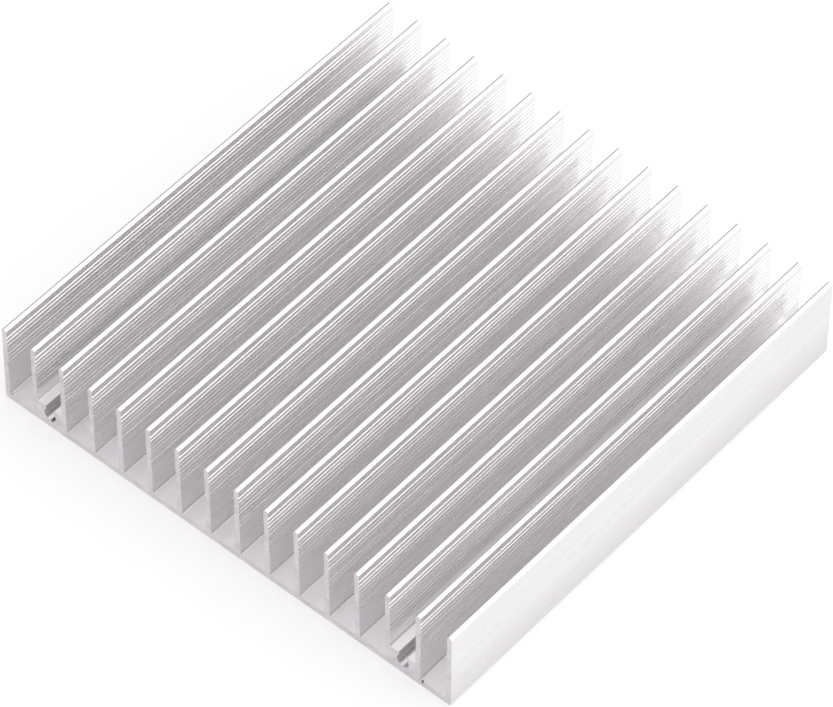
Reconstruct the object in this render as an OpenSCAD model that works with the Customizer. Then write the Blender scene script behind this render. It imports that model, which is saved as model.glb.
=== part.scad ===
// Extruded aluminium heat sink: a thin base with a row of straight fins.
// The fins run along Y, +Z points up through them, and the origin lies at the
// middle of the flat underside. The whole part is one extruded section.

/* [Overall] */
// Width across the fins
width = 100; // [60:1:200]
// Length along the fins
length = 100; // [20:1:300]
// Height from the underside to the fin tips
height = 18; // [12:0.5:40]

/* [Base] */
// Thickness of the base between the fins
base_t = 1.5; // [1:0.1:4]
// Chamfer along the two lower edges of the section
base_chamfer = 0.3; // [0.1:0.05:0.5]

/* [Fins] */
// Number of fins
fin_count = 16; // [6:1:20]
// Thickness of a fin, measured over its ribs
fin_t = 1.05; // [0.8:0.05:2]
// Radius on the two corners of a fin's tip
tip_r = 0.3; // [0.1:0.05:0.35]
// Radius where a fin's side meets the floor beside it
foot_r = 0.2; // [0.1:0.05:1]

/* [Ribs] */
// Distance from one rib on a fin's side to the next
rib_pitch = 1.05; // [0.6:0.05:2]
// Width of the groove between two ribs
groove_w = 0.35; // [0.1:0.05:0.4]
// Depth of the groove between two ribs
groove_depth = 0.2; // [0.05:0.01:0.2]
// Plain band between the fin's tip and its first groove
rib_drop = 1.6; // [0.5:0.1:3]
// Height above the underside at which the ribs end and the fin's plain foot starts
rib_foot = 7.9; // [7.5:0.1:12]

/* [Screw channels] */
// Gap that holds a screw channel, counted inwards from either side
channel_gap = 2; // [1:1:2]
// Height of the block that holds the channel, from the underside
block_h = 4.9; // [4.5:0.1:7]
// Diameter of the channel
channel_d = 2.6; // [2:0.1:2.8]
// Metal left under the channel
channel_wall = 1.8; // [1:0.05:2.2]
// Width of the channel's open mouth
mouth_w = 1.8; // [1:0.1:2]

/* [Hidden] */
$fn = 48;

// Fins stand at an even pitch, with the outer two flush with the sides
fin_pitch = (width - fin_t) / (fin_count - 1);
gap_w = fin_pitch - fin_t;
gap_count = fin_count - 1;

// The highest groove's upper edge, and the number of grooves that follow it down
rib_top = height - rib_drop;
rib_count = floor((rib_top - rib_foot) / rib_pitch);

// The channel's round wall and the depth that a cut runs past a face
channel_r = channel_d / 2;
channel_z = channel_wall + channel_r;
overcut = 1;
arc_steps = 4;

aluminium = [0.82, 0.82, 0.84];

function fin_x(i) = (i - (fin_count - 1) / 2) * fin_pitch;
function gap_x(i) = fin_x(i) + fin_pitch / 2;
function holds_channel(i) = i == channel_gap - 1 || i == gap_count - channel_gap;
function floor_h(i) = holds_channel(i) ? block_h : base_t;

// Points of an arc about a centre, from one angle to another
function arc(centre, r, from, to) = [
    for (k = [0 : arc_steps])
        let (a = from + (to - from) * k / arc_steps)
            centre + r * [cos(a), sin(a)]
];

function reversed(points) = [for (k = [len(points) - 1 : -1 : 0]) points[k]];

// Ribs on one side of a fin, from the top down: V grooves between crests that lie
// on the side's own plane
function groove(side_x, inward, top_z) = [
    [side_x, top_z],
    [side_x + inward * groove_depth, top_z - groove_w / 2],
    [side_x, top_z - groove_w]
];
function ribs(side_x, inward) = [
    for (k = [0 : rib_count - 1])
        each groove(side_x, inward, rib_top - k * rib_pitch)
];

// A gap from the fin on its right, down, across its floor and up the fin on its left
function gap(i) =
    let (
        right_x = gap_x(i) + gap_w / 2,
        left_x = gap_x(i) - gap_w / 2,
        foot_z = floor_h(i) + foot_r
    )
    concat(
        ribs(right_x, 1),
        arc([right_x - foot_r, foot_z], foot_r, 0, -90),
        arc([left_x + foot_r, foot_z], foot_r, 270, 180),
        reversed(ribs(left_x, -1))
    );

function tip(i) = concat(
    arc([fin_x(i) + fin_t / 2 - tip_r, height - tip_r], tip_r, 0, 90),
    arc([fin_x(i) - fin_t / 2 + tip_r, height - tip_r], tip_r, 90, 180)
);

function underside() = [
    [-width / 2, base_chamfer],
    [-width / 2 + base_chamfer, 0],
    [width / 2 - base_chamfer, 0],
    [width / 2, base_chamfer]
];

// The whole section, counterclockwise from its lower left corner
outline = concat(
    underside(),
    tip(fin_count - 1),
    [for (i = [gap_count - 1 : -1 : 0]) each concat(gap(i), tip(i))]
);

module channel_cut(i) {
    translate([gap_x(i), channel_z]) {
        circle(r = channel_r);
        translate([-mouth_w / 2, 0])
            square([mouth_w, block_h - channel_z + overcut]);
    }
}

module section() {
    difference() {
        polygon(outline);
        for (i = [0 : gap_count - 1])
            if (holds_channel(i))
                channel_cut(i);
    }
}

module heat_sink() {
    color(aluminium)
        rotate([90, 0, 0])
            linear_extrude(height = length, center = true)
                section();
}

heat_sink();
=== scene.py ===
"""Looks of an extruded aluminium heat sink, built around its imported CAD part.

One swept mesh stands for the CAD solid: the same section, with rounded grooves of
uneven depth, worn tips, fins that lean by a hair, and sawn ends. Lengths are in
millimetres up to the point where a mesh is written, and in metres after it.
"""

import math

import bpy
import numpy as np
from mathutils import Matrix, Vector


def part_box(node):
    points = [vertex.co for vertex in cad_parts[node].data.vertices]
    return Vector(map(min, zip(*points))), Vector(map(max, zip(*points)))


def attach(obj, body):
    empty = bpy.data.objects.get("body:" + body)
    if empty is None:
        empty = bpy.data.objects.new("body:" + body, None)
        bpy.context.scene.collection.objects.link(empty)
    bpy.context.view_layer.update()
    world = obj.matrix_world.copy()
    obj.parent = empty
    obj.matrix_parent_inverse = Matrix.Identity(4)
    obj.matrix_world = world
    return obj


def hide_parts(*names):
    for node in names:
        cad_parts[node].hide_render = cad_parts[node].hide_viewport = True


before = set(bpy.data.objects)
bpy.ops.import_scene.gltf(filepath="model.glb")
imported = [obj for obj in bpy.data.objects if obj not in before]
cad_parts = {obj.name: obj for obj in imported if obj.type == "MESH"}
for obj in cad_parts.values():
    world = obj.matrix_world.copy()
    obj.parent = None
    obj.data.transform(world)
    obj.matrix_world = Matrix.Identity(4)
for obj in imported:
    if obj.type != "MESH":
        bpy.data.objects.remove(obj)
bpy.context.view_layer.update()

MM = 0.001
NODE = "heat_sink"
MAP = "section_map"

# Overall size, from the frame
low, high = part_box(NODE)
WIDTH, LENGTH, HEIGHT = [(b - a) / MM for a, b in zip(low, high)]

# Section, as the solid has it
BASE_T = 1.5
BASE_CHAMFER = 0.3
FIN_COUNT = 16
FIN_T = 1.05
TIP_R = 0.3
RIB_PITCH = 1.05
GROOVE_W = 0.35
GROOVE_DEPTH = 0.2
RIB_DROP = 1.6
RIB_FOOT = 7.9
CHANNEL_GAPS = (1, FIN_COUNT - 3)
BLOCK_H = 4.9
CHANNEL_R = 1.3
CHANNEL_WALL = 1.8
MOUTH_W = 1.8

# Fin feet, a hair tighter than the solid's, and rounded lips on the channels
FOOT_R = 0.18
LIP_R = 0.15

# A tip's worn left half: a wide crown up to an angle, then a small shoulder
CROWN_R = 0.9
CROWN_TILT = 28
SHOULDER_R = 0.1

# Share of its full depth that the shallowest groove has, and how far each strays
GROOVE_LEAST = 0.65
GROOVE_SHIFT = 0.05

# The fins' lean at their tips, most for the middle ones
LEAN = 0.22
LEAN_OFFSET = -0.05
LEAN_FIN = 9
LEAN_SPREAD = 13
# Share of the lean halfway along a fin, and how much of it is lost from end to end
LEAN_HALFWAY = 0.8
LEAN_FALL = 0.4

FIN_PITCH = (WIDTH - FIN_T) / (FIN_COUNT - 1)
GAP_W = FIN_PITCH - FIN_T
RIB_TOP = HEIGHT - RIB_DROP
RIB_COUNT = int((RIB_TOP - RIB_FOOT) // RIB_PITCH)

# Fineness of the mesh
GROOVE_STEPS = 8
ARC_STEPS = 5
CHANNEL_STEPS = 24
STATIONS = 9
HOLD = 0.02
LONG_RUN = 10 * HOLD
SHARP_ANGLE = 40
SLACK = 1e-6

# Metal: its darkest and lightest colours
DRAWN_TONES = ((0.905, 0.889, 0.90), (0.945, 0.929, 0.94))
# The channels' tones are darkened as painted shade in the recess
CHANNEL_SHADED_TONES = ((0.74, 0.73, 0.74), (0.84, 0.83, 0.84))
SAWN_TONES = ((0.69, 0.65, 0.68), (0.78, 0.74, 0.77))
# Painted shade, darker low down between the fins
LOW_SHADE_TONE = (0.82, 0.795, 0.81)
# Painted shade on the outer sides, standing in for the darker floor they reflect
SIDE_SHADE_TONE = (0.22, 0.25, 0.26)
# The colour of the near-black spots near the front end
DARK_SPOT_TONE = (0.04, 0.035, 0.03)
# Nicks, lightened to near white as painted highlights
NICK_GLINT_TONE = (0.95, 0.95, 0.95)

# Metal: its roughness, which runs from the first value to the second with a noise
DRAWN_ROUGH = (0.21, 0.29)
TIP_ROUGH = (0.08, 0.12)
FLOOR_ROUGH = (0.42, 0.5)
CHANNEL_ROUGH = (0.5, 0.4)
SAWN_ROUGH = (0.6, 0.45)
MARK_ROUGH = 0.7

# How metallic the drawn surface is, and how far its sheen spreads to one side
DRAWN_METALLIC = 0.8
DRAWN_ANISOTROPY = 0.6

# Streaks: how many there are per millimetre, round the section and along Y
BANDS = (0.9, 0.012)
SHEEN = (1.7, 0.03)
GRAIN = (2.2, 0.01)
# Streaks of the outer sides' painted shade, low down and halfway up
LOW_SIDE_SHADE = (0.3, 0.03)
HIGH_SIDE_SHADE = (0.5, 0.05)
CHANNEL_BANDS = (1.2, 0.02)
# The same on the sawn ends, along X and Z, and the turn of the saw's scores
PATCHES = (0.35, 0.5)
SCORES = (3.0, 0.25)
SAW_TURN = math.radians(-20)

# Relief, in millimetres
GRAIN_RELIEF = 0.008
SAW_RELIEF = 0.015

# Share of the painted shade's colour that the outer sides take, least and most
SIDE_SHADE_SHARE = (0.03, 0.08)

# Where one finish, or the outer sides' painted shade, gives way to the next: how far
# below a tip's rounding, between which heights above the blocks, and between which
# depths inside the outer sides
TIP_BLEND = 0.05
FLOOR_BLEND = (0.3, 0.1)
SIDE_SHADE_BLEND = (0.1, 0.05)
# How far up a normal points on what counts as a floor, from not at all to fully
UPWARD = (0.9, 0.99)

# The middle part of a noise, which is stretched over the range asked for
NOISE_RANGE = (0.3, 0.7)

# Near-black spots at the channels' bottoms and by the front edges, and nicks: the middle
# and the radii of each, in millimetres
DARK_SPOTS = (
    ((-39.20, -49.5, 1.95), (0.28, 0.65, 0.30)),
    ((-48.65, -49.9, 1.70), (0.22, 0.40, 0.22)),
    ((39.85, -49.8, 2.05), (0.26, 0.35, 0.14)),
    ((40.35, -50.0, 2.35), (0.16, 0.30, 0.26)),
    ((43.90, -50.0, 1.20), (0.20, 0.35, 0.42)),
)
# Nicks in the sawn front, drawn as bright painted highlights where chips catch light
NICK_GLINTS = (
    ((26.30, -50.0, 1.50), (0.22, 0.30, 0.14)),
    ((34.80, -50.0, 1.30), (0.16, 0.30, 0.18)),
)
# Marks' borders: the noise's cells per millimetre, the distance of a point that is
# near no mark, how far the border strays, and where it ends and is full, in radii
MARK_GRAIN = 4.0
MARK_FAR = (2.6, 3.4)
MARK_RAGGED = (-0.4, 0.4)
MARK_BORDER = (1.15, 0.85)

# Floor: its half width in metres, its colour, and the glow that makes it read white
FLOOR_HALF = 3.0
FLOOR_TONE = (0.35, 0.35, 0.35)
FLOOR_GLOW = 0.63

# Sky: its tilt towards +X, and its strength from low down to high up
SKY_TILT = 0.28
SKY_RISE = (0.05, 0.55)
SKY_STRENGTH = (0.2, 1.08)

# Lamps: name, direction from the part, width and height in metres, and radiance
SOFTBOXES = (
    ("right_softbox", (0.77, 0.49, 0.41), (1.3, 0.7), 1.05),
    ("left_softbox", (0.15, 0.49, 0.86), (1.2, 1.2), 1.1),
)
# How far the lamps stand from the part, in metres
LAMP_RANGE = 1.5

# Camera: where it stands round the part, what it looks at and its long lens
CAMERA_AZIMUTH = math.radians(40.067)
CAMERA_ELEVATION = math.radians(50.491)
CAMERA_ROLL = math.radians(0.742)
CAMERA_RANGE = 0.97329
CAMERA_AIM = Vector((1.677, -2.457, 9.0)) * MM
CAMERA_CLIP = 20
LENS_MM = 246.82
SENSOR_MM = 36.0

rng = np.random.default_rng(7)


def fin_x(i):
    return (i - (FIN_COUNT - 1) / 2) * FIN_PITCH


def arc(cx, cz, r, start, end, steps=ARC_STEPS):
    angles = np.radians(np.linspace(start, end, steps + 1))
    return [(cx + r * math.cos(a), cz + r * math.sin(a)) for a in angles]


def rib_side(side_x, inward):
    """Ribs from the top down: plain crests between rounded, uneven grooves."""
    points = [(side_x, RIB_TOP + GROOVE_SHIFT)]
    for k in range(RIB_COUNT):
        depth = GROOVE_DEPTH * rng.uniform(GROOVE_LEAST, 1.0)
        top = RIB_TOP - k * RIB_PITCH + GROOVE_SHIFT * rng.uniform(-1, 1)
        for s in range(GROOVE_STEPS + 1):
            share = s / GROOVE_STEPS
            inset = depth * (1 - math.cos(2 * math.pi * share)) / 2
            points.append((side_x + inward * inset, top - share * GROOVE_W))
    return points


def channel(cx):
    """The open screw channel, from its right lip down and round to its left lip."""
    cz = CHANNEL_WALL + CHANNEL_R
    half = MOUTH_W / 2
    open_angle = math.degrees(math.acos(half / CHANNEL_R))
    wall = arc(cx, cz, CHANNEL_R, open_angle, -180 - open_angle, CHANNEL_STEPS)
    right = arc(cx + half + LIP_R, BLOCK_H - LIP_R, LIP_R, 90, 180)
    left = arc(cx - half - LIP_R, BLOCK_H - LIP_R, LIP_R, 0, 90)
    return right + wall + left


def in_channel(place):
    """Whether a place on the section's surface lies inside a screw channel."""
    for i in CHANNEL_GAPS:
        away = abs(place.x - fin_x(i) - FIN_PITCH / 2)
        if away < CHANNEL_R + HOLD and CHANNEL_WALL - HOLD < place.z < BLOCK_H - HOLD:
            return True
    return False


def gap(i):
    """From the fin on the gap's right, down, across the floor and up the other."""
    middle = fin_x(i) + FIN_PITCH / 2
    right, left = middle + GAP_W / 2, middle - GAP_W / 2
    floor_z = BLOCK_H if i in CHANNEL_GAPS else BASE_T
    points = rib_side(right, 1)
    points += arc(right - FOOT_R, floor_z + FOOT_R, FOOT_R, 0, -90)
    if i in CHANNEL_GAPS:
        points += channel(middle)
    points += arc(left + FOOT_R, floor_z + FOOT_R, FOOT_R, 270, 180)
    points += reversed(rib_side(left, -1))
    return points


def tip(i):
    """A fin's tip: its right corner round, its left half worn to crown and shoulder."""
    right = arc(fin_x(i) + FIN_T / 2 - TIP_R, HEIGHT - TIP_R, TIP_R, 0, 90)
    across = math.sin(math.radians(CROWN_TILT))
    drop = 1 - math.cos(math.radians(CROWN_TILT))
    shoulder_x = fin_x(i) - FIN_T / 2 + SHOULDER_R
    shoulder_z = HEIGHT - SHOULDER_R - (CROWN_R - SHOULDER_R) * drop
    crown_x = shoulder_x + (CROWN_R - SHOULDER_R) * across
    crown = arc(crown_x, HEIGHT - CROWN_R, CROWN_R, 90, 90 + CROWN_TILT)
    shoulder = arc(shoulder_x, shoulder_z, SHOULDER_R, 90 + CROWN_TILT, 180)
    return right + crown + shoulder[1:]


def held(points):
    """The outline with each long run's two ends held, so shading stays flat on it."""
    kept = []
    for a, b in zip(points, points[1:] + points[:1]):
        a, b = np.array(a), np.array(b)
        run = np.linalg.norm(b - a)
        kept.append(a)
        if run > LONG_RUN:
            kept += [a + (b - a) * HOLD / run, b - (b - a) * HOLD / run]
    return np.array(kept)


def section():
    """The whole section, counterclockwise from its lower left corner."""
    edge = WIDTH / 2
    points = [(-edge, BASE_CHAMFER), (-edge + BASE_CHAMFER, 0)]
    points += [(edge - BASE_CHAMFER, 0), (edge, BASE_CHAMFER)]
    points += tip(FIN_COUNT - 1)
    for i in reversed(range(FIN_COUNT - 1)):
        points += gap(i) + tip(i)
    return held(points)


def lean(x, z, y):
    """How far a point of a fin shifts along X, by its height and its place along Y."""
    i = round(x / FIN_PITCH + (FIN_COUNT - 1) / 2)
    if abs(x - fin_x(i)) > FIN_T / 2 + SLACK or z < BASE_T:
        return 0.0
    shift = LEAN_OFFSET - LEAN * math.cos(math.pi * (i - LEAN_FIN) / LEAN_SPREAD)
    # The outer two only ever lean inwards, so they stay within the part's width
    if i == 0:
        shift = max(shift, 0)
    if i == FIN_COUNT - 1:
        shift = min(shift, 0)
    rise = (z - BASE_T) / (HEIGHT - BASE_T)
    return shift * rise * (LEAN_HALFWAY - LEAN_FALL * y / LENGTH)


def swept(points):
    """Vertices and faces of the section drawn along Y, with a cap at each end."""
    count = len(points)
    ys = np.linspace(-LENGTH / 2, LENGTH / 2, STATIONS)
    verts = []
    for y in ys:
        verts += [(x + lean(x, z, y), y, z) for x, z in points]
    faces = []
    for s in range(STATIONS - 1):
        a, b = s * count, (s + 1) * count
        for k in range(count):
            n = (k + 1) % count
            faces.append((a + k, a + n, b + n, b + k))
    last = (STATIONS - 1) * count
    faces.append(tuple(reversed(range(count))))
    faces.append(tuple(range(last, last + count)))
    return verts, faces


def run_round(points):
    """Distance along the section to each of its points, and the whole way round."""
    steps = np.linalg.norm(np.roll(points, -1, axis=0) - points, axis=1)
    return np.concatenate([[0], np.cumsum(steps)])


def lay_map(mesh, points):
    """A map whose U runs round the section and whose V runs along Y, in millimetres.

    On the two caps, U and V are X and Z instead.
    """
    runs = run_round(points)
    count = len(points)
    uv = mesh.uv_layers.new(name=MAP)
    for face in mesh.polygons:
        side = face.index % count
        for loop in face.loop_indices:
            v = mesh.loops[loop].vertex_index
            x, y, z = mesh.vertices[v].co / MM
            if face.index >= count * (STATIONS - 1):
                uv.data[loop].uv = (x, z)
            else:
                uv.data[loop].uv = (runs[side if v % count == side else side + 1], y)


def build_sink():
    points = section()
    verts, faces = swept(points)
    mesh = bpy.data.meshes.new("extrusion")
    mesh.from_pydata([Vector(v) * MM for v in verts], [], faces)
    mesh.materials.append(drawn_metal())
    mesh.materials.append(sawn_metal())
    mesh.materials.append(shaded_channel_metal())
    for face in list(mesh.polygons)[-2:]:
        face.material_index = 1
    for face in list(mesh.polygons)[:-2]:
        if in_channel(face.center / MM):
            face.material_index = 2
    lay_map(mesh, points)
    mesh.polygons.foreach_set("use_smooth", [True] * len(mesh.polygons))
    mesh.set_sharp_from_angle(angle=math.radians(SHARP_ANGLE))
    mesh.update()
    sink = bpy.data.objects.new("extrusion", mesh)
    bpy.context.scene.collection.objects.link(sink)
    return sink


def new_material(name):
    material = bpy.data.materials.new(name)
    material.use_nodes = True
    nodes = material.node_tree.nodes
    nodes.clear()
    output = nodes.new("ShaderNodeOutputMaterial")
    return material, nodes, material.node_tree.links, output


def maths(nodes, links, operation, *terms):
    """A sum of the kind named, over terms that are sockets or plain numbers."""
    node = nodes.new("ShaderNodeMath")
    node.operation = operation
    for term, socket in zip(terms, node.inputs):
        if isinstance(term, float):
            socket.default_value = term
        else:
            links.new(term, socket)
    return node.outputs[0]


def vector_maths(nodes, links, operation, vector, other=None):
    """The node that works on a vector alone or with a constant one."""
    node = nodes.new("ShaderNodeVectorMath")
    node.operation = operation
    links.new(vector, node.inputs[0])
    if other is not None:
        node.inputs[1].default_value = other
    return node


def mapped(nodes, links, source, start, end, to=(0.0, 1.0)):
    """The node that maps a range of its source, start to end, onto another."""
    node = nodes.new("ShaderNodeMapRange")
    node.inputs["From Min"].default_value = start
    node.inputs["From Max"].default_value = end
    node.inputs["To Min"].default_value = to[0]
    node.inputs["To Max"].default_value = to[1]
    links.new(source, node.inputs["Value"])
    return node


def part_place(nodes, links):
    """The outputs X, Y and Z of a point's place on the part, in metres."""
    apart = nodes.new("ShaderNodeSeparateXYZ")
    links.new(nodes.new("ShaderNodeTexCoord").outputs["Object"], apart.inputs[0])
    return apart.outputs


def streaks(nodes, links, scale, turn=0.0, detail=3.0):
    """Noise over the section map, drawn out by a scale for each of its two ways."""
    uv = nodes.new("ShaderNodeUVMap")
    uv.uv_map = MAP
    place = nodes.new("ShaderNodeMapping")
    place.inputs["Scale"].default_value = (scale[0], scale[1], 1)
    place.inputs["Rotation"].default_value = (0, 0, turn)
    noise = nodes.new("ShaderNodeTexNoise")
    noise.inputs["Scale"].default_value = 1.0
    noise.inputs["Detail"].default_value = detail
    links.new(uv.outputs["UV"], place.inputs["Vector"])
    links.new(place.outputs["Vector"], noise.inputs["Vector"])
    return noise.outputs["Fac"]


def spread(nodes, links, noise, to):
    """A noise's middle range stretched over the two values given."""
    return mapped(nodes, links, noise, *NOISE_RANGE, to).outputs["Result"]


def tones(nodes, links, noise, dark_and_light):
    """A colour that runs from dark to light with a noise."""
    ramp = nodes.new("ShaderNodeValToRGB")
    stops = zip(ramp.color_ramp.elements, NOISE_RANGE, dark_and_light)
    for element, position, colour in stops:
        element.position = position
        element.color = (*colour, 1)
    links.new(noise, ramp.inputs["Fac"])
    return ramp.outputs["Color"]


def relief(nodes, links, noise, depth):
    bump = nodes.new("ShaderNodeBump")
    bump.inputs["Strength"].default_value = 1.0
    bump.inputs["Distance"].default_value = depth * MM
    links.new(noise, bump.inputs["Height"])
    return bump.outputs["Normal"]


def blended(nodes, links, share, tone, other):
    """The tone turned towards another colour by a share."""
    # By number, because the sockets of every type share the same names
    mix = nodes.new("ShaderNodeMix")
    mix.data_type = "RGBA"
    links.new(share, mix.inputs[0])
    links.new(tone, mix.inputs[6])
    mix.inputs[7].default_value = (*other, 1)
    return mix.outputs[2]


def between(nodes, links, share, first, second):
    """A value that goes from the first to the second by a share."""
    mix = nodes.new("ShaderNodeMix")
    links.new(share, mix.inputs["Factor"])
    links.new(first, mix.inputs["A"])
    links.new(second, mix.inputs["B"])
    return mix.outputs["Result"]


def specks(nodes, links, marks):
    """One inside the marks and nothing outside, with ragged borders."""
    place = nodes.new("ShaderNodeTexCoord").outputs["Object"]
    ragged = nodes.new("ShaderNodeTexNoise")
    ragged.inputs["Scale"].default_value = MARK_GRAIN / MM
    links.new(place, ragged.inputs["Vector"])
    nearest = spread(nodes, links, ragged.outputs["Fac"], MARK_FAR)
    for middle, radii in marks:
        away = vector_maths(nodes, links, "SUBTRACT", place, Vector(middle) * MM)
        share = vector_maths(
            nodes, links, "DIVIDE", away.outputs["Vector"], Vector(radii) * MM)
        far = vector_maths(nodes, links, "LENGTH", share.outputs["Vector"])
        nearest = maths(nodes, links, "MINIMUM", far.outputs["Value"], nearest)
    stray = spread(nodes, links, ragged.outputs["Fac"], MARK_RAGGED)
    border = maths(nodes, links, "ADD", nearest, stray)
    return mapped(nodes, links, border, *MARK_BORDER).outputs["Result"]


def with_marks(nodes, links, clean, marks, colour):
    """The clean shader, with the marks laid over it in a dull colour."""
    mark_shader = nodes.new("ShaderNodeBsdfPrincipled")
    mark_shader.inputs["Base Color"].default_value = (*colour, 1)
    mark_shader.inputs["Roughness"].default_value = MARK_ROUGH
    mix = nodes.new("ShaderNodeMixShader")
    links.new(specks(nodes, links, marks), mix.inputs["Fac"])
    links.new(clean, mix.inputs[1])
    links.new(mark_shader.outputs[0], mix.inputs[2])
    return mix.outputs[0]


def on_tips(nodes, links):
    """One on the fins' rounded tips, which handling has burnished, and nothing below."""
    height = part_place(nodes, links)["Z"]
    start = HEIGHT - TIP_R - TIP_BLEND
    tips = mapped(nodes, links, height, start * MM, (HEIGHT - TIP_R) * MM)
    return tips.outputs["Result"]


def on_floors(nodes, links):
    """One on the floors between the fins, which stay duller, and nothing elsewhere."""
    height = part_place(nodes, links)["Z"]
    start, end = [(BLOCK_H + above) * MM for above in FLOOR_BLEND]
    low_down = mapped(nodes, links, height, start, end)
    facing = nodes.new("ShaderNodeSeparateXYZ")
    links.new(nodes.new("ShaderNodeTexCoord").outputs["Normal"], facing.inputs[0])
    upward = mapped(nodes, links, facing.outputs["Z"], *UPWARD)
    both = [node.outputs["Result"] for node in (low_down, upward)]
    return maths(nodes, links, "MULTIPLY", *both)


def low_shade(nodes, links):
    """Nothing on the ribs, rising to one at the base: the share of painted shade, darker
    low down between the fins.
    """
    height = part_place(nodes, links)["Z"]
    start = (RIB_FOOT + RIB_PITCH) * MM
    return mapped(nodes, links, height, start, BASE_T * MM).outputs["Result"]


def shaded_sides(nodes, links, clean):
    """The clean tone, darkened unevenly on the two outer sides by painted shade, which
    stands in for the darker floor they reflect near the part.
    """
    place = part_place(nodes, links)
    out = maths(nodes, links, "ABSOLUTE", place["X"])
    start, end = [(WIDTH / 2 - inside) * MM for inside in SIDE_SHADE_BLEND]
    outer = mapped(nodes, links, out, start, end)
    shade_by_height = mapped(nodes, links, place["Z"], 0.0, HEIGHT / 2 * MM)
    for end_name, scale in (("To Min", LOW_SIDE_SHADE), ("To Max", HIGH_SIDE_SHADE)):
        uneven = spread(nodes, links, streaks(nodes, links, scale), SIDE_SHADE_SHARE)
        links.new(uneven, shade_by_height.inputs[end_name])
    both = [node.outputs["Result"] for node in (outer, shade_by_height)]
    share = maths(nodes, links, "MULTIPLY", *both)
    return blended(nodes, links, share, clean, SIDE_SHADE_TONE)


def drawn_metal():
    """Bare extruded aluminium, drawn along Y: its sheen spreads round the section."""
    material, nodes, links, output = new_material("drawn_aluminium")
    shader = nodes.new("ShaderNodeBsdfPrincipled")
    shader.inputs["Metallic"].default_value = DRAWN_METALLIC
    shader.inputs["Anisotropic"].default_value = DRAWN_ANISOTROPY
    tangent = nodes.new("ShaderNodeTangent")
    tangent.direction_type = "UV_MAP"
    tangent.uv_map = MAP
    links.new(tangent.outputs[0], shader.inputs["Tangent"])
    bare = tones(nodes, links, streaks(nodes, links, BANDS), DRAWN_TONES)
    # Painted shade: the colour darkens low down, deep between the fins
    low_shaded = blended(nodes, links, low_shade(nodes, links), bare, LOW_SHADE_TONE)
    # Painted shade laid over the two outer sides
    links.new(shaded_sides(nodes, links, low_shaded), shader.inputs["Base Color"])
    sheen = streaks(nodes, links, SHEEN)
    fins, tips, floors = [
        spread(nodes, links, sheen, rough)
        for rough in (DRAWN_ROUGH, TIP_ROUGH, FLOOR_ROUGH)
    ]
    worn = between(nodes, links, on_tips(nodes, links), fins, tips)
    dull = between(nodes, links, on_floors(nodes, links), worn, floors)
    links.new(dull, shader.inputs["Roughness"])
    grain = streaks(nodes, links, GRAIN, detail=1.0)
    links.new(relief(nodes, links, grain, GRAIN_RELIEF), shader.inputs["Normal"])
    marked = with_marks(nodes, links, shader.outputs[0], DARK_SPOTS, DARK_SPOT_TONE)
    links.new(marked, output.inputs["Surface"])
    return material


def shaded_channel_metal():
    """The screw channels' walls: rougher than the fins, and darker by painted shade in
    the recess.
    """
    material, nodes, links, output = new_material("shaded_channel_aluminium")
    shader = nodes.new("ShaderNodeBsdfPrincipled")
    shader.inputs["Metallic"].default_value = 1.0
    bands = streaks(nodes, links, CHANNEL_BANDS)
    # Painted shade: these tones are darker than the fins' to stand for the recess's
    # shade
    links.new(tones(nodes, links, bands, CHANNEL_SHADED_TONES), shader.inputs["Base Color"])
    links.new(spread(nodes, links, bands, CHANNEL_ROUGH), shader.inputs["Roughness"])
    marked = with_marks(nodes, links, shader.outputs[0], DARK_SPOTS, DARK_SPOT_TONE)
    links.new(marked, output.inputs["Surface"])
    return material


def sawn_metal():
    """The cut ends: duller, mottled, and finely scored by the saw."""
    material, nodes, links, output = new_material("sawn_aluminium")
    shader = nodes.new("ShaderNodeBsdfPrincipled")
    shader.inputs["Metallic"].default_value = 1.0
    patches = streaks(nodes, links, PATCHES, detail=4.0)
    links.new(tones(nodes, links, patches, SAWN_TONES), shader.inputs["Base Color"])
    links.new(spread(nodes, links, patches, SAWN_ROUGH), shader.inputs["Roughness"])
    scores = streaks(nodes, links, SCORES, turn=SAW_TURN, detail=2.0)
    links.new(relief(nodes, links, scores, SAW_RELIEF), shader.inputs["Normal"])
    marked = with_marks(nodes, links, shader.outputs[0], DARK_SPOTS, DARK_SPOT_TONE)
    # The nicks: painted highlights on chips in the cut end
    marked = with_marks(nodes, links, marked, NICK_GLINTS, NICK_GLINT_TONE)
    links.new(marked, output.inputs["Surface"])
    return material


def build_floor():
    """A pale floor that reads as plain white and still takes the shadow."""
    half = FLOOR_HALF
    mesh = bpy.data.meshes.new("floor")
    corners = [(-half, -half, 0), (half, -half, 0), (half, half, 0), (-half, half, 0)]
    mesh.from_pydata(corners, [], [(0, 1, 2, 3)])
    material, nodes, links, output = new_material("floor_white")
    diffuse = nodes.new("ShaderNodeBsdfDiffuse")
    diffuse.inputs["Color"].default_value = (*FLOOR_TONE, 1)
    glow = nodes.new("ShaderNodeEmission")
    path = nodes.new("ShaderNodeLightPath").outputs
    seen = maths(
        nodes, links, "MAXIMUM", path["Is Camera Ray"], path["Is Glossy Ray"])
    seen = maths(nodes, links, "MAXIMUM", seen, path["Is Transmission Ray"])
    strength = maths(nodes, links, "MULTIPLY", seen, FLOOR_GLOW)
    links.new(strength, glow.inputs["Strength"])
    add = nodes.new("ShaderNodeAddShader")
    links.new(diffuse.outputs[0], add.inputs[0])
    links.new(glow.outputs[0], add.inputs[1])
    links.new(add.outputs[0], output.inputs["Surface"])
    mesh.materials.append(material)
    floor = bpy.data.objects.new("floor", mesh)
    bpy.context.scene.collection.objects.link(floor)


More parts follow.
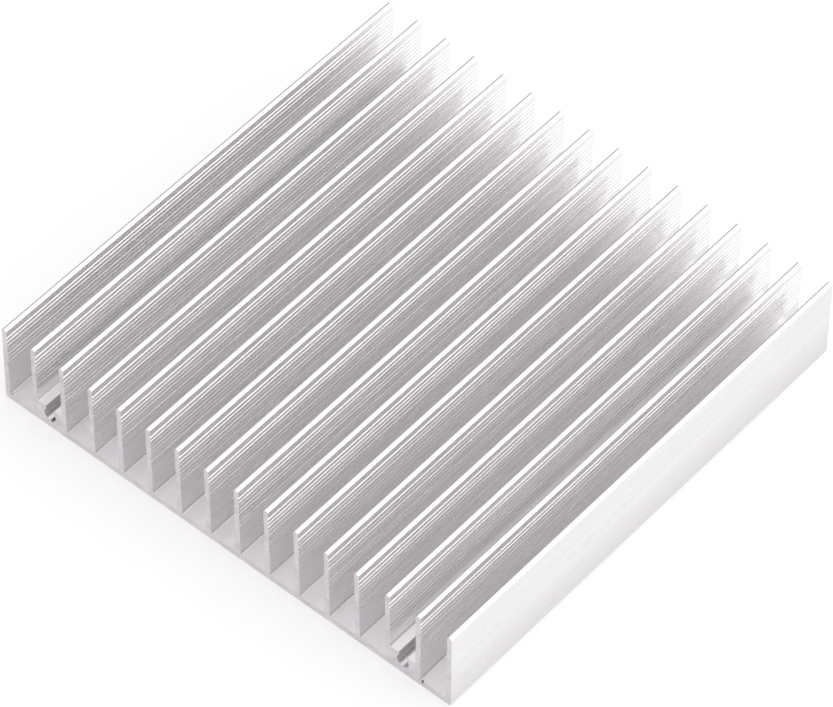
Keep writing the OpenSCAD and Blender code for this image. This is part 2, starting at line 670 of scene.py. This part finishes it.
def build_world():
    """A white sky that fades to a dim horizon, and is brighter towards +X."""
    world = bpy.data.worlds.new("studio")
    world.use_nodes = True
    nodes, links = world.node_tree.nodes, world.node_tree.links
    background = nodes["Background"]
    background.inputs["Color"].default_value = (1, 1, 1, 1)
    apart = nodes.new("ShaderNodeSeparateXYZ")
    links.new(nodes.new("ShaderNodeTexCoord").outputs["Generated"], apart.inputs[0])
    x, z = apart.outputs["X"], apart.outputs["Z"]
    tilted = maths(nodes, links, "MULTIPLY_ADD", x, SKY_TILT, z)
    rise = mapped(nodes, links, tilted, *SKY_RISE, SKY_STRENGTH)
    rise.interpolation_type = "SMOOTHSTEP"
    links.new(rise.outputs["Result"], background.inputs["Strength"])
    bpy.context.scene.world = world


def build_softbox(name, out, size, radiance):
    """A wide soft lamp that faces the part from the direction given."""
    lamp = bpy.data.lights.new(name, "AREA")
    lamp.shape = "RECTANGLE"
    lamp.size, lamp.size_y = size
    lamp.energy = math.pi * size[0] * size[1] * radiance
    box = bpy.data.objects.new(name, lamp)
    out = Vector(out).normalized()
    turn = out.to_track_quat("Z", "Y").to_matrix().to_4x4()
    box.matrix_world = Matrix.Translation(out * LAMP_RANGE) @ turn
    bpy.context.scene.collection.objects.link(box)


def build_camera():
    out = Vector((
        math.sin(CAMERA_AZIMUTH) * math.cos(CAMERA_ELEVATION),
        -math.cos(CAMERA_AZIMUTH) * math.cos(CAMERA_ELEVATION),
        math.sin(CAMERA_ELEVATION),
    ))
    data = bpy.data.cameras.new("camera")
    data.lens = LENS_MM
    data.sensor_width = SENSOR_MM
    data.clip_end = CAMERA_CLIP
    camera = bpy.data.objects.new("camera", data)
    turn = out.to_track_quat("Z", "Y").to_matrix().to_4x4()
    roll = Matrix.Rotation(CAMERA_ROLL, 4, "Z")
    stand = Matrix.Translation(CAMERA_AIM + out * CAMERA_RANGE)
    camera.matrix_world = stand @ turn @ roll
    bpy.context.scene.collection.objects.link(camera)
    bpy.context.scene.camera = camera


sink = build_sink()
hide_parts(NODE)
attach(sink, "root")
build_floor()
build_world()
for softbox in SOFTBOXES:
    build_softbox(*softbox)
build_camera()
bpy.context.scene.view_settings.view_transform = "Standard"
